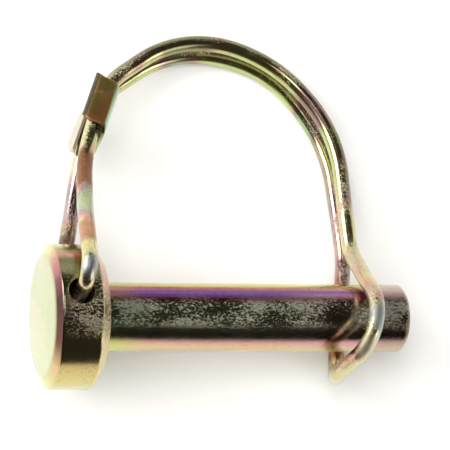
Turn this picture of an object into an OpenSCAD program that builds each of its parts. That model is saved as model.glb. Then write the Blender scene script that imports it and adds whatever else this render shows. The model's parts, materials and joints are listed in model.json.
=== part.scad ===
// Wire-lock hitch pin: a headed, cross-drilled pin, a spring-wire bail and a crimped clip.
// +X runs along the pin from its head to its tip, the bail arches over towards +Y,
// and Z is the axis of the cross hole. The origin is on the pin's axis, at the head's seat.

/* [Shank] */
// Diameter of the shank
shank_d = 12.7; // [12.2:0.1:13]
// Length of the shank from the head's seat to the tip
shank_len = 59; // [57:0.5:64]
// Chamfer on the rim of the tip
tip_chamfer = 0.8; // [0.4:0.1:1.5]

/* [Head] */
// Diameter of the head
head_d = 26.6; // [25.6:0.1:26.8]
// Thickness of the head
head_t = 10.4; // [9.4:0.1:12]
// Length along the axis of the chamfer round the outer face
face_chamfer_len = 1.2; // [0.6:0.1:2]
// How far that chamfer comes in from the head's side
face_chamfer_in = 2.2; // [1:0.1:3]
// Length along the axis of the chamfer round the seat
seat_chamfer_len = 1.9; // [0.6:0.1:2.4]
// How far that chamfer comes in from the head's side
seat_chamfer_in = 2.4; // [1:0.1:3]
// Diameter of the cross hole that takes the ends of the wire
hole_d = 4.8; // [4.8:0.1:5.2]
// Distance from the seat back to the axis of the cross hole
hole_back = 5.75; // [5:0.05:6.2]

/* [Bail wire] */
// Diameter of the spring wire
wire_d = 3; // [2.6:0.1:3]
// Distance from the pin's axis at which each end of the wire stops inside the head
wire_end_z = 4; // [2:0.5:8]
// Distance from the pin's axis at which each leg turns up beside the head
leg_turn_z = 19.5; // [17.5:0.5:22]
// Centre-line radius of that turn
leg_turn_r = 3.4; // [3:0.1:3.8]
// Height above the pin's axis of the corner at the top of the arch
arch_top = 58; // [54:0.5:62]
// Centre-line radius of the arch
arch_r = 22; // [18:0.5:22]
// Distance from the head's seat of the arch's far shoulder
shoulder_x = 49.5; // [48.5:0.5:50.5]
// Half the distance between the two strands of the arch
strand_z = 3; // [2.6:0.1:3.2]
// Centre-line radius of the bend that closes the loop under the shank
loop_bend_r = 6; // [4:0.5:8]
// How much nearer to the head the loop passes on the far side of the shank
loop_lean = 1.6; // [0:0.1:2]

/* [Clip] */
// Width of the clip's strip, along the legs
clip_w = 9.7; // [7:0.1:11]
// Thickness of the clip's sheet
clip_t = 0.6; // [0.4:0.1:0.8]
// How far the strip falls from its start to its end
clip_drop = 5.5; // [1:0.1:7]
// How far the clip's lower corner behind stands off the wires
clip_loose = 0.5; // [0:0.1:1]
// How much of that corner is cut away
clip_cut = 3; // [0:0.1:4]
// How far the clip's last edge is pressed in between the wires
clip_curl = 0.7; // [0:0.1:0.9]

/* [Hidden] */

round_steps = 96;         // steps round the pin and its hole
tube_sides = 16;          // flats round the wire
bend_step = 7;            // degrees of bend from one ring of the wire to the next
clip_steps = 56;          // steps round the clip
cut_extra = 1;            // how far a cutter passes the surface that it leaves

head_r = head_d / 2;
shank_r = shank_d / 2;

// The wire hangs against the wall of the hole, on the side of the arch.
wire_x = 0.45 - hole_back;
wire_y = 0.75;

// Corners of one strand of the bail: [x, y, z, centre-line radius of the bend].
leg_corners = [
    [wire_x, wire_y, wire_end_z, 0],           // end of the wire, inside the hole
    [wire_x, wire_y, leg_turn_z, leg_turn_r],  // turn up beside the head
    [-2.5, 19, strand_z + 4.5, 20],            // leg closes in above the head
    [-0.6, 31, strand_z - 0.5, 20],            // legs meet below the clip
    [4.5, 46, strand_z, 15],                   // arch starts at the top of the clip
    [21.5, arch_top, strand_z, arch_r],        // top of the arch, head side
    [39, arch_top - 6, strand_z - 1, arch_r],  // top of the arch, tip side
];
loop_corners = [
    [shoulder_x, 38, strand_z, 28],            // far shoulder of the arch
    [49.8, 12.6, 2, 8],                        // strands part above the shank
    [51.3, -7.4, 15.6, 7.5],                   // loop passes beside the shank
    [45.2, -11, 0, loop_bend_r],               // loop closes under the shank
];

// The clip's strip winds once round both legs on an oval, and moves down them as it turns.
clip_mid = [3.5, 42.7, 0];                     // middle of the oval, level with the strip's start
clip_up = unit([0.37, 0.93, 0]);               // up the legs
clip_across = [clip_up[1], -clip_up[0], 0];    // across the legs, towards the window
clip_room = 0.15;                              // gap between the strip and the wires
clip_half_w = 2.05;                            // half the room inside, across the legs
clip_half_z = strand_z + wire_d / 2 + clip_room;
oval_power = 8;                                // 2 is a true oval, more is squarer
strip_start = 155;                             // where the strip starts, in degrees round the oval
strip_back = -90;                              // the middle of the back
strip_end = -180;                              // where it ends, after most of a turn

function unit(v) = v / norm(v);
function place(corner) = [corner[0], corner[1], corner[2]];
function flip(p) = [p[0], p[1], -p[2]];
function far(corner, lean) = [corner[0] - lean, corner[1], -corner[2], corner[3]];

// Points of the arc of radius r that rounds corner b on the way from a to c.
function bend(a, b, c, r) =
    let (back = unit(a - b),
         on = unit(c - b),
         half = acos(back * on) / 2,
         start = b + back * r / tan(half),
         centre = b + unit(back + on) * r / sin(half),
         spoke = unit(start - centre),
         turn = 180 - 2 * half,
         steps = ceil(turn / bend_step))
    [for (i = [0:steps])
        centre + r * (spoke * cos(turn * i / steps) - back * sin(turn * i / steps))];

// Points of the bends at all the corners of a list but its first and its last.
function bends(corners) =
    [for (i = [1:len(corners) - 2])
        each bend(place(corners[i - 1]), place(corners[i]), place(corners[i + 1]), corners[i][3])];

// The wire is cut in two nodes halfway along the straight run before the far shoulder.
arch_end = leg_corners[len(leg_corners) - 1];
far_corners = [
    far(loop_corners[2], loop_lean),
    far(loop_corners[1], 0),
    far(loop_corners[0], 0),
];
leg_bends = bends(concat(leg_corners, [loop_corners[0]]));
loop_bends = bends(concat([arch_end], loop_corners, far_corners, [far(arch_end, 0)]));
split = (leg_bends[len(leg_bends) - 1] + loop_bends[0]) / 2;
leg_path = concat([place(leg_corners[0])], leg_bends, [split]);
loop_path = concat([split], loop_bends, [flip(split)]);

// Direction of a path at its point i.
function heading(path, i) =
    i == 0 ? unit(path[1] - path[0])
    : i == len(path) - 1 ? unit(path[i] - path[i - 1])
    : unit(unit(path[i] - path[i - 1]) + unit(path[i + 1] - path[i]));

// A direction square to the path at each of its points, carried along it without twist.
function sides(path, i, v) =
    i == len(path) ? []
    : let (dir = heading(path, i), square = unit(v - dir * (v * dir)))
      concat([square], sides(path, i + 1, square));

// Round bar of radius r along a path.
module tube(path, r) {
    side = sides(path, 0, [0.3, 1, 0.2]);
    rings = [for (i = [0:len(path) - 1], k = [0:tube_sides - 1])
        let (angle = 360 * k / tube_sides)
        path[i] + r * (side[i] * cos(angle) + cross(heading(path, i), side[i]) * sin(angle))];
    walls = [for (i = [0:len(path) - 2], k = [0:tube_sides - 1])
        let (a = i * tube_sides + k, b = i * tube_sides + (k + 1) % tube_sides)
        each [[a, a + tube_sides, b], [b, a + tube_sides, b + tube_sides]]];
    first_cap = [for (k = [0:tube_sides - 1]) k];
    last_cap = [for (k = [1:tube_sides]) len(path) * tube_sides - k];
    polyhedron(points = rings, faces = concat(walls, [first_cap, last_cap]));
}

// Pin turned in one piece, with the cross hole drilled through its head.
module pin() {
    color([0.78, 0.74, 0.56])
    difference() {
        rotate([0, 90, 0])
        rotate_extrude($fn = round_steps)
        polygon([
            [0, -head_t],
            [head_r - face_chamfer_in, -head_t],
            [head_r, face_chamfer_len - head_t],
            [head_r, -seat_chamfer_len],
            [head_r - seat_chamfer_in, 0],
            [shank_r, 0],
            [shank_r, shank_len - tip_chamfer],
            [shank_r - tip_chamfer, shank_len],
            [0, shank_len],
        ]);
        translate([-hole_back, 0, 0])
        cylinder(h = head_d + 2 * cut_extra, d = hole_d, center = true, $fn = round_steps);
    }
}

// The two legs of the bail, each with its half of the arch.
module bail_wire() {
    color([0.70, 0.66, 0.45]) {
        tube(leg_path, wire_d / 2);
        mirror([0, 0, 1])
        tube(leg_path, wire_d / 2);
    }
}

// The far side of the arch and the loop round the shank, in one run of wire.
module bail_loop() {
    color([0.74, 0.70, 0.50])
    tube(loop_path, wire_d / 2);
}

// Point of the strip at an angle round the oval, out from its inner face; low is 0 on the
// strip's upper edge and 1 on its lower edge.
function on_strip(angle, out, low) =
    let (behind = max(0, (strip_back - angle) / (strip_back - strip_end)),
         corner = sin(180 * behind) * low,
         fall = clip_drop * (strip_start - angle) / (strip_start - strip_end),
         pressed = clip_curl * pow(max(0, behind * 4 - 3), 2))
    clip_mid
    + clip_across * ((clip_half_w + out) * rounded(cos(angle)) + pressed - clip_loose * corner)
    + [0, 0, (clip_half_z + out) * rounded(sin(angle))]
    + clip_up * (clip_w * (0.5 - low) + clip_cut * corner - fall);
function rounded(v) = sign(v) * pow(abs(v), 2 / oval_power);

// Strip of sheet wound round the two legs to hold them together.
module leg_clip() {
    turn = strip_end - strip_start;
    corners = [for (i = [0:clip_steps])
        let (angle = strip_start + turn * i / clip_steps)
        each [on_strip(angle, 0, 0), on_strip(angle, clip_t, 0),
              on_strip(angle, clip_t, 1), on_strip(angle, 0, 1)]];
    walls = [for (i = [0:clip_steps - 1], k = [0:3])
        let (a = 4 * i + k, b = 4 * i + (k + 1) % 4)
        each [[a, a + 4, b], [b, a + 4, b + 4]]];
    last = 4 * clip_steps;
    first_edge = [0, 1, 2, 3];
    last_edge = [last + 3, last + 2, last + 1, last];
    color([0.62, 0.50, 0.33])
    polyhedron(points = corners, faces = concat(walls, [first_edge, last_edge]));
}

pin();
bail_wire();
bail_loop();
leg_clip();
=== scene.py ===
import json
import math

import bpy
from mathutils import Matrix, Vector
from mathutils.kdtree import KDTree


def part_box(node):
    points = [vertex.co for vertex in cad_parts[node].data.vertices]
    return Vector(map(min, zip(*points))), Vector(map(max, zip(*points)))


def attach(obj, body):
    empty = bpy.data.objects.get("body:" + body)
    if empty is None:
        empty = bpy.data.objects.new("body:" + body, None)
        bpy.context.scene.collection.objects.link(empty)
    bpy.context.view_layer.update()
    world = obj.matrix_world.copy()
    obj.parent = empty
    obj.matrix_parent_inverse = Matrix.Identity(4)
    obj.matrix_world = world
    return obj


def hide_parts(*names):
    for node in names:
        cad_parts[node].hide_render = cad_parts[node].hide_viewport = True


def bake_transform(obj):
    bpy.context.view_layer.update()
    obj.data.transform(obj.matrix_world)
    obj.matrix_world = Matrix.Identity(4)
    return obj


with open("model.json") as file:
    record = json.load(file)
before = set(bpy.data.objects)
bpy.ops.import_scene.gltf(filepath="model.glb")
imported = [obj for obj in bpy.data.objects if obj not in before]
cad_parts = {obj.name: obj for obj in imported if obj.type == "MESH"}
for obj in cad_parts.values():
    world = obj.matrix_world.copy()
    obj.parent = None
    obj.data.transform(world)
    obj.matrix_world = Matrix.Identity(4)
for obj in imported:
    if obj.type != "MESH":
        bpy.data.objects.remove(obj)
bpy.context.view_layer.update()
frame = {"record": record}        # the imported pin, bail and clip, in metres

mm = 0.001

# yellow-plated lock pin: a turned pin, one bent spring wire and the clip that holds its legs


def selectOnly(obj):
    bpy.ops.object.select_all(action="DESELECT")
    obj.select_set(True)
    bpy.context.view_layer.objects.active = obj


def applyModifier(obj, kind, **settings):
    selectOnly(obj)
    modifier = obj.modifiers.new(kind.lower(), kind)
    for key, value in settings.items():
        setattr(modifier, key, value)
    bpy.ops.object.modifier_apply(modifier=modifier.name)


def selectVertices(obj, wanted):
    # from object mode: picks vertices by their place, and goes into edit mode
    selectOnly(obj)
    bpy.ops.object.mode_set(mode="EDIT")
    bpy.ops.mesh.select_mode(type="VERT")
    bpy.ops.mesh.select_all(action="DESELECT")
    bpy.ops.object.mode_set(mode="OBJECT")
    for vertex in obj.data.vertices:
        vertex.select = wanted(vertex.co)
    bpy.ops.object.mode_set(mode="EDIT")


def settle(obj, smoothAngle, doubleGap=0.002 * mm):
    # place and turn go into the mesh, doubles go, faces point outwards
    selectOnly(obj)
    bpy.ops.object.transform_apply(location=True, rotation=True, scale=True)
    bpy.ops.object.mode_set(mode="EDIT")
    bpy.ops.mesh.select_all(action="SELECT")
    bpy.ops.mesh.remove_doubles(threshold=doubleGap)
    bpy.ops.mesh.normals_make_consistent(inside=False)
    bpy.ops.object.mode_set(mode="OBJECT")
    bpy.ops.object.shade_smooth_by_angle(angle=math.radians(smoothAngle))


pinLow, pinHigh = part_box("pin")
pinShape = {
    "sides": 144,
    "headRadius": pinHigh.z,
    "headBack": pinLow.x,
    "tip": pinHigh.x,
    "shankRadius": frame["record"]["mounts"][0]["dims"]["r_mm"] * mm,
    "faceChamfer": (1.2 * mm, 2.2 * mm),      # along the axis, in from the side
    "seatChamfer": (1.9 * mm, 2.4 * mm),
    "tipChamfer": 0.8 * mm,
    "edgeRound": 0.28 * mm,                   # what tumbling and plating leave of a turned edge
    "edgeAngle": 20,                          # degrees, and flatter edges stay as they are
    "turnedSmooth": 30,                       # degrees, up to which the shading runs on
    "holeX": -5.75 * mm,
    "holeRadius": 2.4 * mm,
    "holeSides": 72,
    "drillLength": 3 * pinHigh.z,             # right through the head and out of it
    "rimRound": 0.22 * mm,                    # at the two mouths of the hole
    "rimNear": (0.02 * mm, 0.05 * mm),        # from the hole's wall, in from the head's side
    "drilledSmooth": 28,
    "roundSteps": 3,
}


def turnPin(s):
    # a disc drawn out station by station, as on a lathe
    head, shank = s["headRadius"], s["shankRadius"]
    stations = [
        (s["headBack"] + s["faceChamfer"][0], head),
        (-s["seatChamfer"][0], head),
        (0, head - s["seatChamfer"][1]),
        (0, shank),
        (s["tip"] - s["tipChamfer"], shank),
        (s["tip"], shank - s["tipChamfer"]),
    ]
    x, radius = s["headBack"], head - s["faceChamfer"][1]
    bpy.ops.object.select_all(action="DESELECT")
    bpy.ops.mesh.primitive_circle_add(
        vertices=s["sides"], radius=radius, fill_type="NGON",
        location=(x, 0, 0), rotation=(0, math.pi / 2, 0),
    )
    pin = bpy.context.active_object
    bpy.ops.object.mode_set(mode="EDIT")
    bpy.ops.mesh.select_all(action="SELECT")
    for nextX, nextRadius in stations:
        bpy.ops.mesh.extrude_region_move(
            MESH_OT_extrude_region={"use_normal_flip": False},
            TRANSFORM_OT_translate={"value": (nextX - x, 0, 0), "orient_type": "GLOBAL"},
        )
        scale = nextRadius / radius
        bpy.ops.transform.resize(
            value=(1, scale, scale), orient_type="GLOBAL", center_override=(nextX, 0, 0)
        )
        x, radius = nextX, nextRadius
    bpy.ops.object.mode_set(mode="OBJECT")
    pin.name = "turnedPin"
    settle(pin, s["turnedSmooth"])
    applyModifier(
        pin, "BEVEL", width=s["edgeRound"], segments=s["roundSteps"], limit_method="ANGLE",
        angle_limit=math.radians(s["edgeAngle"]), use_clamp_overlap=True,
    )
    return pin


def drillHead(pin, s):
    bpy.ops.object.select_all(action="DESELECT")
    bpy.ops.mesh.primitive_cylinder_add(
        vertices=s["holeSides"], radius=s["holeRadius"], depth=s["drillLength"],
        location=(s["holeX"], 0, 0),
    )
    drill = bpy.context.active_object
    applyModifier(pin, "BOOLEAN", object=drill, operation="DIFFERENCE", solver="EXACT")
    bpy.data.objects.remove(drill)
    fromWall, fromSide = s["rimNear"]

    def onRim(co):
        fromDrill = math.hypot(co.x - s["holeX"], co.y)
        fromAxis = math.hypot(co.y, co.z)
        return abs(fromDrill - s["holeRadius"]) < fromWall and fromAxis > s["headRadius"] - fromSide

    selectVertices(pin, onRim)
    bpy.ops.mesh.bevel(
        offset=s["rimRound"], segments=s["roundSteps"], affect="EDGES", clamp_overlap=False
    )
    bpy.ops.object.mode_set(mode="OBJECT")
    settle(pin, s["drilledSmooth"])


pin = turnPin(pinShape)
drillHead(pin, pinShape)
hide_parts("pin")
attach(pin, "pin")
print("pin turned and drilled:", len(pin.data.polygons), "faces")


bail = {
    "radius": 1.5 * mm,
    # corners of one strand in mm, with the centre-line radius of the bend at each
    "corners": [
        (-5.3, 0.75, 4, 0),
        (-5.3, 0.75, 19.5, 3.4),
        (-2.5, 19, 7.5, 20),
        (-0.6, 31, 2.5, 20),
        (4.5, 46, 3, 15),
        (21.5, 58, 3, 22),
        (39, 52, 2, 22),
        (49.5, 38, 3, 28),
        (49.8, 12.6, 2, 8),
        (51.3, -7.4, 15.6, 7.5),
        (45.2, -11, 0, 6),
    ],
    "loopLean": 1.6,                         # the loop's far side sits this much nearer to the head
    "bendStep": math.radians(3),
    "runStep": 1.2 * mm,                     # rings along the straight runs, so that they can flex
    "roundness": 6,                          # a ring has four sides, and two more for each step
    "smooth": 50,                            # degrees, up to which the shading runs on
    "flexFrom": (22 * mm, 58 * mm, 0),       # between these the real wire bends when the bail is sprung; this script doesn't bend it
    "flexTo": (44 * mm, 50 * mm, 0),
    "windowMiddle": Vector((23, 30, 0)) * mm,    # of the space that the bail goes round
    "archFrom": (4 * mm, 20 * mm),           # in X and in Y, where the marking of the arch begins
    "archFade": 8 * mm,
}


def bendPoints(before, corner, after, radius, step):
    back = (before - corner).normalized()
    on = (after - corner).normalized()
    half = back.angle(on) / 2
    start = corner + back * radius / math.tan(half)
    centre = corner + (back + on).normalized() * radius / math.sin(half)
    spoke = (start - centre).normalized()
    turn = math.pi - 2 * half
    count = max(2, math.ceil(turn / step))
    return [
        centre + radius * (spoke * math.cos(turn * i / count) - back * math.sin(turn * i / count))
        for i in range(count + 1)
    ]


def wirePath(s):
    # the far strand mirrors the near one, and ends on the head's other side
    near = s["corners"]
    far = [(x, y, -z, r) for x, y, z, r in reversed(near[:-1])]
    x, y, z, r = far[0]
    far[0] = (x - s["loopLean"], y, z, r)
    corners = [(Vector(c[:3]) * mm, c[3] * mm) for c in near + far]
    rounded = [corners[0][0]]
    for (a, _), (b, radius), (c, _) in zip(corners, corners[1:], corners[2:]):
        rounded += bendPoints(a, b, c, radius, s["bendStep"])
    rounded.append(corners[-1][0])
    path = [rounded[0]]
    for a, b in zip(rounded, rounded[1:]):
        count = max(1, round((b - a).length / s["runStep"]))
        path += [a.lerp(b, (i + 1) / count) for i in range(count)]
    return path


def markOutside(wire, path, s):
    # 1 on the outside of the arch, -1 on its inside, for the painted dark reflection and heavier
    # etch on the outside and the mint tint inside
    nearest = KDTree(len(path))
    for i, place in enumerate(path):
        nearest.insert(place, i)
    nearest.balance()
    mark = wire.data.attributes.new("outward", "FLOAT", "POINT")
    for vertex in wire.data.vertices:
        place, i, _ = nearest.find(vertex.co)
        run = path[min(i + 1, len(path) - 1)] - path[max(i - 1, 0)]
        out = run.cross(Vector((0, 0, 1))).normalized()
        if out.dot(place - s["windowMiddle"]) < 0:
            out = -out
        share = 1
        for where, start in zip(vertex.co, s["archFrom"]):
            share *= min(1, max(0, (where - start) / s["archFade"]))
        mark.data[vertex.index].value = share * out.dot(vertex.co - place) / s["radius"]


def bendWire(s):
    path = wirePath(s)
    curve = bpy.data.curves.new("bentWire", "CURVE")
    curve.dimensions = "3D"
    curve.bevel_depth = s["radius"]
    curve.bevel_resolution = s["roundness"]
    curve.use_fill_caps = True
    spline = curve.splines.new("POLY")
    spline.points.add(len(path) - 1)
    for point, place in zip(spline.points, path):
        point.co = (*place, 1)
    wire = bpy.data.objects.new("bentWire", curve)
    bpy.context.scene.collection.objects.link(wire)
    selectOnly(wire)
    bpy.ops.object.convert(target="MESH")
    wire = bpy.context.active_object
    settle(wire, s["smooth"])
    markOutside(wire, path, s)
    return wire


wire = bendWire(bail)
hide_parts("bail_wire", "bail_loop")
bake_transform(wire)
print("bail bent:", len(wire.data.polygons), "faces")


clip = {                          # in mm and degrees
    "middle": (3.5, 42.7, 0),     # of the strip on the front of the clip
    "up": (0.37, 0.93, 0),        # along the legs
    "halfWidth": 2.05,            # room inside, across the legs
    "halfDepth": 4.65,            # and through them
    "square": 8,                  # 2 is a true oval, more is squarer
    "start": 155,                 # round the oval
    "back": -90,                  # the middle of the back
    "end": -180,
    "drop": 5.5,                  # how far the strip falls from its start to its end
    "loose": 0.5,                 # how far the lower corner behind stands off the wires
    "cut": 3,                     # how much that corner is cut away
    "curl": 0.7,                  # how far the last edge is pressed in between the wires
    "curlFrom": 0.75,             # share of the way from the back to the end
    "width": 9.7,
    "sheet": 0.6,
    "columns": 150,
    "rows": 16,
    "smooth": 40,
    "edgeRound": 0.13,
    "edgeAngle": 50,
    "roundSteps": 2,
}


def windStrip(s):
    # a flat blank of sheet, wrapped round the two legs and falling as it turns
    bpy.ops.object.select_all(action="DESELECT")
    bpy.ops.mesh.primitive_grid_add(x_subdivisions=s["columns"], y_subdivisions=s["rows"], size=1)
    strip = bpy.context.active_object
    strip.name = "woundClip"
    up = Vector(s["up"]).normalized()
    across = Vector((up.y, -up.x, 0))
    middle = Vector(s["middle"])
    power = 2 / s["square"]
    for vertex in strip.data.vertices:
        along = vertex.co.x + 0.5
        turned = s["start"] + (s["end"] - s["start"]) * along
        cosine, sine = math.cos(math.radians(turned)), math.sin(math.radians(turned))
        wide = math.copysign(abs(cosine) ** power, cosine)
        deep = math.copysign(abs(sine) ** power, sine)
        behind = max(0, (s["back"] - turned) / (s["back"] - s["end"]))
        curled = max(0, (behind - s["curlFrom"]) / (1 - s["curlFrom"]))
        corner = math.sin(math.pi * behind) * (0.5 - vertex.co.y)
        place = middle + across * s["halfWidth"] * wide + Vector((0, 0, s["halfDepth"] * deep))
        place += across * (s["curl"] * curled ** 2 - s["loose"] * corner)
        place += up * (s["width"] * vertex.co.y + s["cut"] * corner - s["drop"] * along)
        vertex.co = place * mm
    settle(strip, s["smooth"])
    applyModifier(strip, "SOLIDIFY", thickness=s["sheet"] * mm, offset=1, use_even_offset=True)
    applyModifier(
        strip, "BEVEL", width=s["edgeRound"] * mm, segments=s["roundSteps"], limit_method="ANGLE",
        angle_limit=math.radians(s["edgeAngle"]),
    )
    selectOnly(strip)
    bpy.ops.object.shade_smooth_by_angle(angle=math.radians(s["smooth"]))
    return strip


strip = windStrip(clip)
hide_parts("leg_clip")
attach(strip, "bail")
print("clip wound:", len(strip.data.polygons), "faces")


def linear(hexColour):
    channels = [int(hexColour[i:i + 2], 16) / 255 for i in (1, 3, 5)]
    return [c / 12.92 if c <= 0.04045 else ((c + 0.055) / 1.055) ** 2.4 for c in channels] + [1]


def addNode(tree, kind, settings=None, links=None):
    # links gives each input a value, or a (node, output) pair to join
    node = tree.nodes.new("ShaderNode" + kind)
    for key, value in (settings or {}).items():
        if key == "stops":
            ramp = node.color_ramp
            while len(ramp.elements) < len(value):
                ramp.elements.new(1)
            for element, (position, colour) in zip(ramp.elements, value):
                element.position = position
                element.color = linear(colour)
        else:
            setattr(node, key, value)
    for key, value in (links or {}).items():
        if isinstance(value, tuple) and isinstance(value[0], bpy.types.Node):
            tree.links.new(value[0].outputs[value[1]], node.inputs[key])
        else:
            node.inputs[key].default_value = value
    return node


# yellow chromate over zinc, on dipped steel: the colour is a thin film that pools, drains and thins,
# so it runs from straw through pink and violet to green, and bare zinc shows where it is rubbed.
# These hold for all three pieces, where a piece's own look doesn't say otherwise
plating = {
    "filmStretch": (1, 1, 1),         # under 1 draws the film's patches out along that axis
    "filmPatch": 9 * mm,
    "filmSpan": (0.2, 0.8),           # of the noise, over which the tints run
    "filmNoise": {"Detail": 2, "Roughness": 0.5, "Distortion": 0.3},
    "zones": [],                      # axis, start and fade in mm, tints and painted reflection bands by share of a turn
    "stray": 0.09,                    # of a turn, how far the film's noise moves a streak
    "etchStretch": (1, 1, 1),
    "etchPatch": 0.32 * mm,           # finer on the real steel, and this coarse so that it shows
    "etchNoise": {"Detail": 6, "Roughness": 0.68, "Distortion": 0.6},
    "etchField": 5 * mm,              # the broad fields that the etched patches gather in
    "fieldNoise": {"Detail": 2},
    "fieldShare": 0.6,
    "etchShade": "#C6CABB",
    "etchDepth": 0.1 * mm,
    "grainNoise": {"Detail": 3, "Roughness": 0.65},
    "grainDepth": 0.03 * mm,
    "specks": [(0.30, "#5E5640"), (0.46, "#F4F0E2"), (1.0, "#FFFFFF")],
    "spots": [],                      # place and size in mm, colour, roughness
    "spotRagged": 2.5 * mm,
    "raggedNoise": {"Detail": 4, "Roughness": 0.6},
    "spotFade": (1.1, 1.6),           # of its size, with half a size of raggedness in it
}


def filmAndPaintedReflection(tree, place, look):
    # the film's tint changes from zone to zone along an axis, and inside a zone in streaks round the
    # pin's axis;
    # on the pin these streaks are also painted reflection bands, light and dark, that differ from
    # face to face
    stretched = addNode(tree, "Mapping", links={0: (place, "Object"), "Scale": look["filmStretch"]})
    film = addNode(tree, "TexNoise", links={
        "Vector": (stretched, 0), "Scale": 1 / look["filmPatch"], **look["filmNoise"],
    })
    thin, thick = look["filmSpan"]
    depth = addNode(tree, "MapRange", links={
        "Value": (film, "Fac"), "From Min": thin, "From Max": thick,
    })
    tint = addNode(tree, "ValToRGB", {"stops": look["tints"]}, {"Fac": (depth, 0)})
    axes = addNode(tree, "SeparateXYZ", links={0: (place, "Object")})
    angle = addNode(tree, "Math", {"operation": "ARCTAN2"}, {0: (axes, "Y"), 1: (axes, "Z")})
    share = addNode(tree, "MapRange", links={
        "Value": (angle, 0), "From Min": -math.pi, "From Max": math.pi,
    })
    strayed = addNode(tree, "Math", {"operation": "MULTIPLY_ADD"}, {
        0: (film, "Fac"), 1: look["stray"], 2: (share, 0),
    })
    turn = addNode(tree, "Math", {"operation": "SUBTRACT"}, {0: (strayed, 0), 1: look["stray"] / 2})
    colour = (tint, 0)
    for axis, start, fade, tintsAndPaintedBands in look["zones"]:
        past = addNode(tree, "MapRange", {"interpolation_type": "SMOOTHSTEP"}, {
            "Value": (axes, axis), "From Min": start * mm, "From Max": (start + fade) * mm,
        })
        ramp = addNode(tree, "ValToRGB", {"stops": tintsAndPaintedBands}, {"Fac": (turn, 0)})
        zone = addNode(tree, "Mix", {"data_type": "RGBA"}, {0: (past, 0), 6: colour, 7: (ramp, 0)})
        colour = (zone, 2)
    return colour, turn


def etchPattern(tree, place, look):
    # the dip eats the steel unevenly, in fine patches that gather in broad fields
    stretched = addNode(tree, "Mapping", links={0: (place, "Object"), "Scale": look["etchStretch"]})
    patches = addNode(tree, "TexNoise", links={
        "Vector": (stretched, 0), "Scale": 1 / look["etchPatch"], **look["etchNoise"],
    })
    fields = addNode(tree, "TexNoise", links={
        "Vector": (stretched, 0), "Scale": 1 / look["etchField"], **look["fieldNoise"],
    })
    return addNode(tree, "Math", {"operation": "MULTIPLY_ADD"}, {
        0: (fields, "Fac"), 1: look["fieldShare"], 2: (patches, "Fac"),
    })


def paintArchReflection(tree, look, colour, etch):
    # painted dark reflection and heavier etch on the outside of the arch, and a mint tint on its
    # inside
    outward = addNode(tree, "Attribute", {"attribute_name": "outward"})
    side = addNode(tree, "MapRange", links={
        "Value": (outward, "Fac"), "From Min": -1.0, "From Max": 1.0,
    })
    darkReflection = addNode(tree, "ValToRGB", {"stops": look["paintedOutsideReflection"]}, {"Fac": (side, 0)})
    tint = addNode(tree, "Mix", {"data_type": "RGBA", "blend_type": "MULTIPLY"}, {
        0: 1.0, 6: colour, 7: (darkReflection, 0),
    })
    heavier = addNode(tree, "Math", {"operation": "MULTIPLY_ADD"}, {
        0: (outward, "Fac"), 1: look["etchOutside"], 2: (etch, 0),
    })
    return (tint, 2), heavier


def thinEtch(tree, place, look, turn, etched):
    # the etch fades out towards the head's face, and changes in strength round the pin
    start, full = look["etchFrom"]
    axes = addNode(tree, "SeparateXYZ", links={0: (place, "Object")})
    along = addNode(tree, "MapRange", links={
        "Value": (axes, "X"), "From Min": start * mm, "From Max": full * mm,
        "To Min": look["etchLeast"],
    })
    around = addNode(tree, "ValToRGB", {"stops": look["etchRound"]}, {"Fac": (turn, 0)})
    share = addNode(tree, "Math", {"operation": "MULTIPLY"}, {0: (along, 0), 1: (around, 0)})
    return addNode(tree, "Math", {"operation": "MULTIPLY"}, {0: (etched, 0), 1: (share, 0)})


def addSpots(tree, place, look, colour, gloss):
    # stains and rubbed places, each round with a ragged edge
    ragged = addNode(tree, "TexNoise", links={
        "Vector": (place, "Object"), "Scale": 1 / look["spotRagged"], **look["raggedNoise"],
    })
    whole, gone = look["spotFade"]
    for spot, size, shade, roughness in look["spots"]:
        away = addNode(tree, "VectorMath", {"operation": "DISTANCE"}, {
            0: (place, "Object"), 1: [c * mm for c in spot],
        })
        reach = addNode(tree, "Math", {"operation": "MULTIPLY_ADD"}, {
            0: (ragged, "Fac"), 1: size * mm, 2: (away, "Value"),
        })
        inside = addNode(tree, "MapRange", {"interpolation_type": "SMOOTHSTEP"}, {
            "Value": (reach, 0), "From Min": size * whole * mm, "From Max": size * gone * mm,
            "To Min": 1.0, "To Max": 0.0,
        })
        stained = addNode(tree, "Mix", {"data_type": "RGBA"}, {
            0: (inside, 0), 6: colour, 7: linear(shade),
        })
        rubbed = addNode(tree, "Mix", {"data_type": "FLOAT"}, {
            0: (inside, 0), 2: gloss, 3: roughness,
        })
        colour, gloss = (stained, 2), (rubbed, 0)
    return colour, gloss


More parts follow.
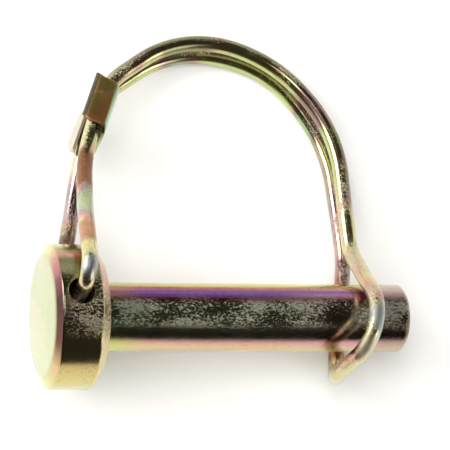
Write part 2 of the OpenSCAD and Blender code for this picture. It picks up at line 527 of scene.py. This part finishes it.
def chromate(name, ownLook):
    look = {**plating, **ownLook}
    material = bpy.data.materials.new(name)
    material.use_nodes = True
    tree = material.node_tree
    tree.nodes.clear()
    place = addNode(tree, "TexCoord")
    film, turn = filmAndPaintedReflection(tree, place, look)
    etch = etchPattern(tree, place, look)
    if "paintedOutsideReflection" in look:
        film, etch = paintArchReflection(tree, look, film, etch)
    least, most = look["etchSpan"]
    etched = addNode(tree, "MapRange", {"interpolation_type": "SMOOTHSTEP"}, {
        "Value": (etch, 0), "From Min": least, "From Max": most,
    })
    if "etchRound" in look:
        etched = thinEtch(tree, place, look, turn, etched)
    # fine grain under the film, with a dark speck at each hollow
    grain = addNode(tree, "TexNoise", links={
        "Vector": (place, "Object"), "Scale": 1 / look["grain"], **look["grainNoise"],
    })
    specks = addNode(tree, "ValToRGB", {"stops": look["specks"]}, {"Fac": (grain, "Fac")})
    speckled = addNode(tree, "Mix", {"data_type": "RGBA", "blend_type": "MULTIPLY"}, {
        0: look["speckShare"], 6: film, 7: (specks, 0),
    })
    # etched patches are greyer, and scatter where the rest mirrors
    greyed = addNode(tree, "Math", {"operation": "MULTIPLY"}, {0: (etched, 0), 1: look["etchGrey"]})
    plated = addNode(tree, "Mix", {"data_type": "RGBA"}, {
        0: (greyed, 0), 6: (speckled, 2), 7: linear(look["etchShade"]),
    })
    bright, dull = look["roughness"]
    sheen = addNode(tree, "MapRange", links={
        "Value": (etched, 0), "To Min": bright, "To Max": dull,
    })
    colour, gloss = (plated, 2), (sheen, 0)
    if look["spots"]:
        colour, gloss = addSpots(tree, place, look, colour, gloss)
    bump = addNode(tree, "Bump", links={
        "Strength": look["grainStrength"], "Distance": look["grainDepth"], "Height": (grain, "Fac"),
    })
    pits = addNode(tree, "Bump", links={
        "Strength": look["etchStrength"], "Distance": look["etchDepth"], "Height": (etched, 0),
        "Normal": (bump, 0),
    })
    shader = addNode(tree, "BsdfPrincipled", links={
        "Base Color": colour, "Metallic": 1.0, "Roughness": gloss, "Normal": (pits, 0),
    })
    addNode(tree, "OutputMaterial", links={"Surface": (shader, 0)})
    return material


# turned bar: painted reflection bands run along it, light and dark and tinted pink and violet by the
# film, between grey-green etched fields.
# Shares of a turn: 0 and 1 are the underside, 0.25 is the side away from the arch, 0.5 the top
pinPlating = chromate("turnedChromateWithPaintedReflections", {
    "filmStretch": (0.08, 1, 1), "filmSpan": (0.0, 1.2),
    "tints": [
        (0.0, "#B9B67E"), (0.35, "#BEC698"), (0.5, "#C6CAA2"), (0.62, "#CFBA9A"), (1.0, "#B6C496"),
    ],
    # each streak ramp is painted reflection: its light and dark bands are painted, and its pink,
    # violet and straw are the film's tint
    "zones": [
        ("X", -10.38, 0.35, [       # chamfer round the head's face
            (0.00, "#C6C886"), (0.22, "#CCCC8A"), (0.31, "#D2B488"), (0.38, "#6E4A42"),
            (0.46, "#4C3438"), (0.52, "#7E5258"), (0.575, "#C08886"), (0.66, "#D9D59A"),
            (1.00, "#DADA96"),
        ]),
        ("X", -9.4, 0.5, [          # side of the head
            (0.00, "#B7B67C"), (0.20, "#BFC080"), (0.28, "#CBBD80"), (0.325, "#C4AE78"),
            (0.36, "#A39C7C"), (0.44, "#B5A58E"), (0.50, "#9FA27E"), (0.575, "#7C7A56"),
            (0.598, "#C98C82"), (0.618, "#A69F6C"), (0.68, "#C9C890"), (1.00, "#B7B67C"),
        ]),
        ("X", -2.1, 0.3, [          # chamfer behind the head
            (0.00, "#D9D59A"), (0.30, "#E0D69A"), (0.42, "#D8C79C"), (0.52, "#C59A86"),
            (0.60, "#C9A08E"), (0.70, "#D9D59A"), (1.00, "#D9D59A"),
        ]),
        ("X", -0.1, 0.2, [          # shank, where it leaves the head
            (0.00, "#BFB474"), (0.20, "#C9CE88"), (0.30, "#C2C67A"), (0.325, "#B9B070"),
            (0.350, "#7C7A5E"), (0.42, "#96A48A"), (0.50, "#8E9A7C"), (0.54, "#86604E"),
            (0.575, "#8A5A74"), (0.603, "#C29472"), (0.64, "#CCCB7C"), (1.00, "#BFB474"),
        ]),
        ("X", 2.5, 6.0, [           # its first half
            (0.00, "#BFB474"), (0.18, "#CFCB90"), (0.225, "#D6D094"), (0.262, "#DBB0A0"),
            (0.295, "#D2C088"), (0.32, "#CF9E98"), (0.345, "#6E6258"), (0.42, "#A5A690"),
            (0.50, "#9FA88C"), (0.533, "#8C4E5C"), (0.550, "#5E3E78"), (0.568, "#7E5896"),
            (0.584, "#8A5486"), (0.604, "#C67C84"), (0.625, "#CFC470"), (0.70, "#CDD292"),
            (0.80, "#DDB59A"), (0.90, "#B9A6A8"), (1.00, "#BFB474"),
        ]),
        ("X", 30.0, 14.0, [         # its second half
            (0.00, "#BFB474"), (0.18, "#C6CB90"), (0.225, "#CFCD94"), (0.27, "#D6C492"),
            (0.30, "#D9A9A0"), (0.325, "#C898A0"), (0.345, "#5E544C"), (0.42, "#8E867A"),
            (0.50, "#8C8478"), (0.535, "#946A6C"), (0.558, "#A878A0"), (0.578, "#7E5C92"),
            (0.600, "#CE9496"), (0.625, "#CFC478"), (0.70, "#CDD292"), (0.80, "#DDB59A"),
            (1.00, "#BFB474"),
        ]),
        ("X", 51.0, 2.5, [          # beyond the loop
            (0.00, "#B9AE80"), (0.20, "#C9C89A"), (0.28, "#CDB29C"), (0.32, "#B39A90"),
            (0.36, "#5A4A42"), (0.45, "#6E5A50"), (0.53, "#6A544E"), (0.58, "#B49A9C"),
            (0.64, "#C9B8A4"), (0.72, "#CDD292"), (1.00, "#B9AE80"),
        ]),
        ("X", 58.75, 0.2, [(0.0, "#C2B68C"), (1.0, "#C2B68C")]),    # end of the tip
    ],
    "etchStretch": (0.6, 1, 1), "etchSpan": (0.77, 0.95), "etchGrey": 0.8, "etchStrength": 1.0,
    "etchFrom": (-9.6, 1.0), "etchLeast": 0.1,
    "etchRound": [                  # white is the full etch, by share of a turn
        (0.0, "#6A6A6A"), (0.2, "#707070"), (0.33, "#4A4A4A"), (0.385, "#404040"),
        (0.425, "#F0F0F0"), (0.50, "#FFFFFF"), (0.53, "#8A8A8A"), (0.56, "#404040"),
        (0.65, "#505050"), (1.0, "#6A6A6A"),
    ],
    "grain": 0.35 * mm, "grainStrength": 0.4, "speckShare": 0.5, "roughness": (0.14, 0.6),
})
# drawn wire: less etched than the pin, stained brown where the dip pooled and rubbed at the bends
wirePlating = chromate("drawnWireChromateWithPaintedReflection", {
    "filmPatch": 13 * mm,
    "tints": [
        (0.00, "#B8A67A"), (0.22, "#D0C48C"), (0.38, "#D6D2A4"), (0.47, "#D8C6A2"),
        (0.57, "#D0A498"), (0.66, "#B097A0"), (0.76, "#B2BE9C"), (1.00, "#CFCE98"),
    ],
    "paintedOutsideReflection": [                    # from the inside of the arch to its outside: mint tint inside, painted dark reflection outside
        (0.0, "#E6FFE4"), (0.3, "#FAFFF4"), (0.5, "#FFFFFF"), (0.62, "#B9B8B2"), (0.82, "#8A8884"),
        (1.0, "#84757E"),
    ],
    "etchField": 6 * mm, "etchSpan": (0.84, 1.02), "etchOutside": 0.16, "etchGrey": 0.5,
    "etchStrength": 0.5,
    "grain": 0.3 * mm, "grainStrength": 0.25, "speckShare": 0.35, "roughness": (0.17, 0.4),
    "spots": [                      # six stains, one chalky bend, and two rubbed to bare zinc
        ((-1.6, 27.5, 5.0), 5.5, "#8E6446", 0.22), ((-3.6, 11, 12.8), 4.0, "#B88A68", 0.24),
        ((-3.2, 15, -10.5), 8.0, "#84685A", 0.2), ((49.5, 0, -9.5), 6.0, "#A8705C", 0.24),
        ((46, 42, 2.6), 5.0, "#9C8478", 0.24), ((20, 57, 4.0), 8.0, "#8E8A66", 0.26),
        ((50, -9.4, 8.6), 4.2, "#DCD2B4", 0.5), ((-4.6, 2, 19), 3.4, "#B6BAB4", 0.38),
        ((52, -5, 12.4), 4.4, "#B6BAB4", 0.38),
    ],
})
# rolled strip: duller than the rest, with a copper front between a dark edge and a mint one
clipPlating = chromate("yellowChromateRolledStrip", {
    "tints": [(0.0, "#D8CCC0"), (0.5, "#DCD6CC"), (1.0, "#D0D6C8")],
    "zones": [
        ("X", -1.5, 5.5, [(0.0, "#C6D4BA"), (1.0, "#CFD9A8")]),
        ("Z", 3.7, 0.3, [(0.0, "#564E44"), (1.0, "#564E44")]),
        ("X", 3.1, 0.4, [(0.0, "#BCDCC0"), (1.0, "#BCDCC0")]),
        ("Z", 5.04, 0.14, [(0.722, "#EAA468"), (0.733, "#D69860"), (0.740, "#B4A25C")]),
    ],
    "etchSpan": (0.9, 1.0), "etchGrey": 0.3, "etchStrength": 0.25,
    "grain": 0.4 * mm, "grainStrength": 0.3, "speckShare": 0.4, "roughness": (0.4, 0.5),
})
for piece, material in ((pin, pinPlating), (wire, wirePlating), (strip, clipPlating)):
    piece.data.materials.clear()
    piece.data.materials.append(material)
print("plating done")


studio = {
    "floorUp": Vector((-0.1275, -0.1829, 0.9748)),   # the lock lies on a leg, the arch and the loop
    "floorSize": 3.0,
    "floorShade": "#F6F5F3",
    "floorRoughness": 0.6,
    "target": Vector((22.23, 13.26, 12.74)) * mm,
    "azimuth": 36.44,             # degrees round Z from -Y towards -X
    "elevation": 61.92,
    "roll": 33.95,
    "distance": 480 * mm,
    "lens": 209.55,
    "clipEnd": 10,
    # metres to the right of the target, above it and towards the camera, then size, watts, and
    # whether the plating mirrors it
    "lights": {
        "keySoftbox": (-0.62, 0.40, 0.46, 0.50, 5.5, True),
        "fillSoftbox": (0.75, -0.35, 0.35, 0.5, 2, True),
        "topSoftbox": (0.0, 0.42, 0.95, 0.30, 0.9, True),
        "tableWash": (-0.12, 0.12, 1.1, 1.3, 16.5, False),
    },
    "roomLean": 0.25,             # how far the dark room over the table leans down the view
    "room": [                     # 0 is level with the table and below, 1 is straight overhead
        (0.0, "#FFFFFF"), (0.16, "#F4F2EE"), (0.22, "#6A665A"), (0.30, "#403D34"), (1.0, "#35322A"),
    ],
}
floorUp = studio["floorUp"].normalized()


def layFloor(s):
    # the table touches the lowest point of the lock as it lies
    lowest = min(floorUp.dot(v.co) for piece in (pin, wire, strip) for v in piece.data.vertices)
    bpy.ops.object.select_all(action="DESELECT")
    bpy.ops.mesh.primitive_plane_add(size=s["floorSize"])
    floor = bpy.context.active_object
    floor.name = "paleTable"
    floor.rotation_mode = "QUATERNION"
    floor.rotation_quaternion = floorUp.to_track_quat("Z", "Y")
    floor.location = floorUp * lowest
    paint = bpy.data.materials.new("paleTablePaint")
    paint.use_nodes = True
    coat = paint.node_tree.nodes["Principled BSDF"].inputs
    coat["Base Color"].default_value = linear(s["floorShade"])
    coat["Roughness"].default_value = s["floorRoughness"]
    floor.data.materials.append(paint)
    return floor


def setCamera(s):
    azimuth, elevation = math.radians(s["azimuth"]), math.radians(s["elevation"])
    towards = Vector((
        -math.sin(azimuth) * math.cos(elevation),
        -math.cos(azimuth) * math.cos(elevation),
        math.sin(elevation),
    ))
    cameraData = bpy.data.cameras.new("camera")
    cameraData.lens = s["lens"]
    cameraData.clip_end = s["clipEnd"]
    camera = bpy.data.objects.new("camera", cameraData)
    bpy.context.scene.collection.objects.link(camera)
    camera.location = s["target"] + towards * s["distance"]
    roll = Matrix.Rotation(math.radians(s["roll"]), 3, "Z")
    facing = towards.to_track_quat("Z", "Y").to_matrix() @ roll
    camera.rotation_euler = facing.to_euler()
    bpy.context.scene.camera = camera
    return facing.col[0], facing.col[1], towards


def hangLights(s, right, above, towards):
    for name, (side, height, depth, size, power, mirrored) in s["lights"].items():
        lightData = bpy.data.lights.new(name, "AREA")
        lightData.size = size
        lightData.energy = power
        light = bpy.data.objects.new(name, lightData)
        light.visible_glossy = mirrored
        bpy.context.scene.collection.objects.link(light)
        light.location = s["target"] + right * side + above * height + towards * depth
        light.rotation_euler = (light.location - s["target"]).to_track_quat("Z", "Y").to_euler()


def darkenRoom(s, above):
    # pale all round the table, and dark over it, so that the metal has something to mirror
    world = bpy.data.worlds.new("studioWorld")
    world.use_nodes = True
    bpy.context.scene.world = world
    tree = world.node_tree
    tree.nodes.clear()
    direction = addNode(tree, "TexCoord")
    overhead = (floorUp - s["roomLean"] * above).normalized()
    height = addNode(tree, "VectorMath", {"operation": "DOT_PRODUCT"}, {
        0: (direction, "Generated"), 1: overhead,
    })
    shade = addNode(tree, "ValToRGB", {"stops": s["room"]}, {"Fac": (height, "Value")})
    sky = addNode(tree, "Background", links={"Color": (shade, 0), "Strength": 1.0})
    addNode(tree, "OutputWorld", links={"Surface": (sky, 0)})


floor = layFloor(studio)
right, above, towards = setCamera(studio)
hangLights(studio, right, above, towards)
darkenRoom(studio, above)
bpy.context.scene.view_settings.view_transform = "Standard"
print("studio set")
